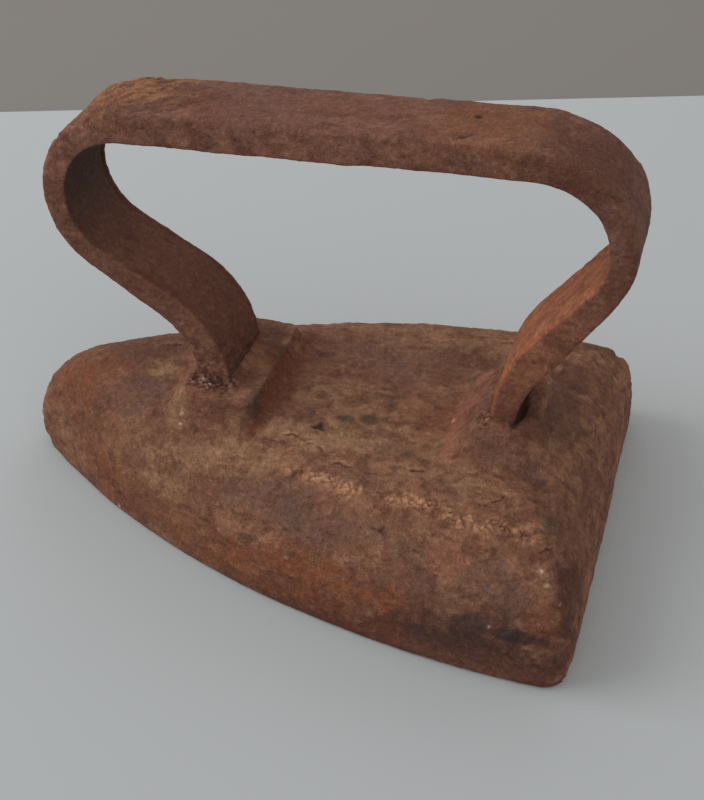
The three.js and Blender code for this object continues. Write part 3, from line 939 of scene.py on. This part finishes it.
# Where each colour of the rust, and some painted shade, lies on the body: the places, reaches and
# strengths of spots
ragged = 0.5 * cloud(at, 9, 22, 4) + 0.35 * cloud(at, 2.6, 23, 4)
body_patches = {
    "khaki": (
        ((37, 3, 31), (5, 5, 6), 0.8),
        ((26, 16, 32), (3.4, 6, 5), 1.0),
        ((-4, 17, 31.5), (16, 5, 4), 0.8),
        ((-24, 14, 31.5), (16, 5, 4), 0.65),
        ((-42, 21, 31.5), (5, 4, 3), 0.5),
        ((-34, 23, 31.5), (12, 4, 3), 0.35),
        ((-39, 42, 26), (5, 4, 4), 0.35),
        ((-12, 4, 31.5), (14, 7, 3), 0.45),
        ((56, -6, 29), (10, 8, 5), 0.3),
        ((30, 30, 14), (16, 7, 7), 0.3),
        ((-50, 26, 31.5), (8, 3, 4), 1.0),
        ((8, 28, 29), (12, 5, 5), 0.8),
        ((27, 28, 22), (8, 5, 7), 0.7),
        ((42, 22, 22), (8, 8, 6), 0.35),
        ((-24, -28, 30), (34, 7, 6), 0.4),
        ((-68, 8, 28), (3, 24, 5), 0.35),
    ),
    "plum": (
        ((43, 14, 29), (6.5, 6.5, 5), 0.65),
        ((36, 10, 31), (4, 5, 4), 0.7),
        ((44, -5, 30), (11, 6, 4), 0.5),
        ((-28, 17, 31.5), (4, 3, 3), 0.4),
        ((-41, 44, 24.6), (5, 3, 4), 0.35),
        ((-60, 50, 7), (14, 4, 5), 0.4),
        ((-20, 29, 31), (9, 3, 4), 0.5),
        ((-2, 35.5, 25), (12, 4.5, 6), 0.65),
        ((-20, 40, 25), (13, 4, 5), 0.7),
        ((-44, 28, 31), (4, 2.4, 3), 0.4),
        ((-54, 16, 35), (12, 4, 4), 0.6),
        ((-22, -17, 31.5), (20, 8, 4), 0.5),
        ((-54, 44, 23), (9, 4, 6), 0.75),
        ((-62, 46, 20), (7, 4, 5), 0.6),
        ((-44, 47, 18), (9, 3, 5), 0.4),
        ((-60, 4, 32), (4, 14, 5), 0.4),
    ),
    "orange": (
        ((-20, 45, 13), (26, 7, 5), 1.0),
        ((-38, 47, 15), (8, 3, 4), 0.8),
        ((16, 37, 8), (22, 8, 6), 0.6),
        ((60, -2, 24), (13, 14, 9), 0.7),
        ((50, -6, 29), (14, 12, 6), 0.2),
        ((30, 31, 12), (16, 7, 7), 0.3),
        ((-32, 6, 31.5), (9, 10, 3), 0.35),
        ((52, 8, 27), (12, 12, 7), 0.3),
        ((50, 20, 18), (13, 9, 9), 0.45),
        ((46, 25, 8), (18, 8, 7), 0.5),
        ((-42, 49, 9), (6, 4, 4), 0.4),
        ((-8, 45, 7), (30, 6, 5), 0.6),
        ((20, -38, 12), (40, 10, 8), 0.5),
    ),
    "umber_and_shade": (
        ((-44, 51, 4), (30, 5, 7), 0.75),
        ((-10, 48, 0), (26, 6, 4), 0.8),
        ((34, 30, 8), (9, 6, 7), 0.2),
        ((-40, -50, 10), (30, 6, 8), 0.5),
        ((-70, 10, 26), (4, 30, 6), 0.3),
        ((-44, 8, 33), (5, 8, 5), 0.4),
        ((-73, 40, 19), (4, 9, 9), 0.8),
        ((-71, 48, 8), (9, 8, 11), 0.55),
        ((-60, 51, 8), (20, 5, 6), 0.4),
        ((-71, 42, 22), (4, 5, 6), 0.4),
        ((-56, 50, 14), (13, 5, 7), 0.35),
        ((58, 0, 22), (18, 22, 14), 0.25),
        ((44, -6, 30), (14, 12, 6), 0.25),
        ((16, 18, 33), (10, 3, 4), 0.35),
        # Painted shade on the rear mound and the top behind the rear leg
        ((-58, 7, 38), (5, 7, 6), 0.7),
        ((-63, -6, 33), (6, 13, 6), 0.6),
        ((-61, -21, 31), (6, 8, 5), 0.6),
        ((27, 7, 36), (4, 5, 4), 0.5),
        ((20, 12, 38), (5, 3, 2.4), 0.7),
        ((15, 0, 37), (8, 14, 3), 0.25),
        ((14, -13, 37), (7, 7, 3), 0.6),
        ((15, 9, 38), (5, 5, 3), 0.35),
        ((19, 23, 29), (5, 5, 4), 0.3),
        ((-62, 38, 29), (5, 4, 4), 0.5),
        ((-57, 18, 31.5), (5, 5, 4), 0.4),
        ((-66, 25, 29.5), (4, 7, 4), 0.4),
        ((-23, 48, 3), (7, 5, 5), 0.4),
    ),
    "russet_and_shade": (
        # Painted shade, with russet rust, on the front boss's face toward the heel, away from the
        # window lamp
        ((6.5, 0, 33), (3.6, 20, 5), 1.0),
        ((34, 29, 8), (10, 6, 6), 0.3),
        ((0, 45, 3), (24, 6, 4), 0.6),
        ((-32, -16, 31.5), (7, 6, 3), 0.4),
        ((-28, 48, 5), (10, 4, 5), 0.8),
        ((-69, 48, 18), (3.5, 4, 7), 0.6),
    ),
    "rose": (
        ((-40, 6, 33), (2.6, 12, 5), 0.8),
        ((-43, -8, 35), (2.6, 12, 5), 0.8),
        ((-47, 43, 25), (4, 3.4, 4), 0.7),
        ((-68, 48, 20), (2.5, 3, 7), 0.25),
        ((20, 15.5, 36.5), (6, 2.6, 2), 0.5),
        ((31, 1, 33), (4, 9, 4), 0.4),
        ((-75, 0, 2), (3, 50, 3), 0.5),
        ((-58, 50, 4), (18, 4, 5), 0.2),
    ),
    "dark_marks_and_shade": (
        ((-57, 49.5, 15), (7, 4, 3.4), 0.35),
        ((-64, 50, 14.2), (5.5, 3, 1.8), 0.9),
        ((-48, 50, 12), (10, 5, 5), 0.35),
        ((-56, 50, 8), (16, 5, 4), 0.25),
        ((8.2, 15.5, 34), (1.6, 4, 3), 0.5),
        # Painted shade in the hollow behind the rear foot
        ((hollow_x, 4, 39.5), (1.9, 8, 6), 0.8),
    ),
    "spot": (
        ((-12.7, 9.9, 31.5), (2.6, 1.3, 2), 1.0),
        ((-18.4, 8.4, 31.5), (2.5, 1.8, 2), 1.0),
        ((-30.6, 18.6, 31.5), (1.1, 1.1, 2), 0.8),
        ((8.8, 12, 36.7), (1.4, 5, 2), 0.5),
        ((8.6, 15.5, 34), (1.3, 2.5, 3), 0.3),
        ((8.2, -5, 36.5), (1.2, 4, 1.5), 0.5),
        ((-67, 30, 29.5), (2.5, 3, 4), 0.6),
    ),
    "fleck": (
        ((25.5, 19.2, 31.4), (0.4, 0.6, 1.2), 0.9),
        ((25.6, 18, 31.8), (0.5, 0.5, 1), 0.7),
        ((25.2, 20.7, 30.2), (0.45, 0.6, 0.8), 0.9),
        ((-37.8, 3.6, 31.5), (0.35, 0.3, 1), 0.7),
        ((-66.6, 42.2, 26.9), (0.7, 0.6, 0.7), 0.75),
        ((-68.5, 43.8, 25.1), (0.65, 0.6, 0.7), 0.45),
        ((-69.6, 44.6, 23.4), (0.6, 0.6, 0.7), 0.4),
        ((-71.5, 45.4, 21.5), (0.5, 0.5, 0.6), 0.4),
        ((-73, 47, 16), (0.5, 0.5, 0.6), 0.4),
        ((-69.8, 49.6, 12.6), (0.6, 0.6, 0.6), 0.5),
        ((-58, 49.9, 15.3), (0.35, 0.8, 0.35), 0.5),
        ((43.5, 24.7, 1.8), (0.6, 1, 0.35), 0.6),
        ((69.3, 9.5, 2.4), (0.4, 0.6, 0.4), 0.7),
        ((59.5, 15.8, 5), (0.35, 0.5, 0.5), 0.7),
        ((-9.1, 42.9, 15.3), (0.4, 0.6, 0.4), 0.8),
    ),
}
raggedness = {"dark_marks_and_shade": 0.85, "spot": 0.5, "fleck": 0.4}
for mask, marks in body_patches.items():
    cover = spots(at, raggedness.get(mask, 1) * ragged, *marks)
    if mask == "fleck":
        cover += 0.3 * front_crust * smooth_step(0.9, 1, crust_grains) * (forward > front_x)
    paint(body, mask, cover)
crust = np.maximum(front_crust, 0.8 * rear_crust)
paint(
    body, "pale",
    ridge * (0.25 + 0.75 * ridge_grains)
    + 0.2 * crust * smooth_step(0.8, 0.95, crust_grains)
    + 0.35 * crack_lips
    + 0.5 * lump,
)
crevices = crust * smooth_step(0.45, 0.15, crust_grains) + 0.2 * ridge * (1 - ridge_grains)
paint(body, "pit", 0.9 * cracks + 0.8 * chip + 0.8 * crevices + 0.35 * upper * pocks)

# The casting closes on the strap that it was poured round: its sockets are cut with the
# strap's own lower ends, which are made larger by a hair, in millimetres
core_top = 50 * MM
core_allowance = 0.04
socket_core = strap.copy()
socket_core.data = strap.data.copy()
bpy.context.scene.collection.objects.link(socket_core)
edit_whole(socket_core)
bpy.ops.mesh.bisect(plane_co=(0, 0, core_top), plane_no=(0, 0, 1), clear_outer=True, use_fill=True)
bpy.ops.object.mode_set(mode="OBJECT")
push(socket_core, np.full(len(socket_core.data.vertices), core_allowance))
add_modifier(body, "BOOLEAN", operation="DIFFERENCE", object=socket_core, solver="EXACT")
bpy.data.objects.remove(socket_core)
use(body)
bpy.ops.object.shade_smooth()
body.data.materials.append(
    rusty_material(
        "rusty_cast_iron",
        light=srgb(130, 91, 68),
        middle=srgb(112, 74, 57),
        shade=srgb(90, 61, 50),
        patches=(
            ("orange", srgb(120, 71, 45), 0.65),
            ("khaki", srgb(138, 105, 77), 0.6),
            ("plum", srgb(97, 71, 61), 0.5),
            # umber rust and painted shade
            ("umber_and_shade", srgb(78, 48, 39), 0.35),
            # russet rust and painted shade
            ("russet_and_shade", srgb(96, 54, 38), 0.5),
            ("rose", srgb(138, 88, 68), 0.5),
            # darker marks, and painted shade in the rear hollow
            ("dark_marks_and_shade", srgb(58, 44, 42), 0.2),
            ("spot", srgb(70, 60, 48), 0.3),
            ("pale", srgb(188, 140, 104), 0.6),
            ("pit", srgb(42, 29, 26), 0.15),
            ("fleck", srgb(205, 188, 174), 0.9),
        ),
    )
)
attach(body, "root")
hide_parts("cast_body")

# Floor
# A plain pale floor whose far edge shows behind the handle, and plain grey ground beyond it.
floor_size = 2.4
ground_size = 20
ground_drop = 2 * MM


def plain_material(name, colour):
    """Dull paint in one colour."""
    material = bpy.data.materials.new(name)
    material.use_nodes = True
    shader = material.node_tree.nodes["Principled BSDF"]
    shader.inputs["Base Color"].default_value = colour
    shader.inputs["Roughness"].default_value = 0.95
    shader.inputs["Specular IOR Level"].default_value = 0.1
    return material


ground = add_square("grey_ground", ground_size, (0, 0, -ground_drop))
ground.data.materials.append(plain_material("grey_paint", srgb(126, 124, 121)))
pale_floor = add_square("pale_floor", floor_size)
far_edge = Vector((0.0582, -0.2161, 0))
toward_camera = Vector((math.sin(camera_azimuth), -math.cos(camera_azimuth), 0))
pale_floor.rotation_euler = (0, 0, camera_azimuth)
pale_floor.location = far_edge + toward_camera * floor_size / 2
pale_floor.data.materials.append(plain_material("pale_paint", srgb(172, 178, 180)))

# Light
# Soft daylight comes from above the nose and evenly from a warm sky, with a weaker lamp on the
# near side and one low behind the iron.
iron_middle = Vector((0, 0, 30 * MM))
sky = bpy.data.worlds.new("sky")
bpy.context.scene.world = sky
sky.use_nodes = True
sky.node_tree.nodes["Background"].inputs["Color"].default_value = (1, 0.935, 0.91, 1)
sky.node_tree.nodes["Background"].inputs["Strength"].default_value = 0.63


def hang_lamp(name, place, width, watts):
    """A square soft lamp that points at the iron."""
    light = bpy.data.lights.new(name, "AREA")
    light.size = width
    light.energy = watts
    lamp = bpy.data.objects.new(name, light)
    bpy.context.scene.collection.objects.link(lamp)
    lamp.location = place
    lamp.rotation_euler = (iron_middle - Vector(place)).to_track_quat("-Z", "Y").to_euler()


hang_lamp("window", (1.05, 0.25, 0.85), 0.9, 9.6)
hang_lamp("fill", (-0.7, 1.0, 0.8), 1.1, 2.5)
hang_lamp("back", (0.1, -0.75, 0.45), 0.6, 0.9)
bpy.context.scene.view_settings.view_transform = "Standard"
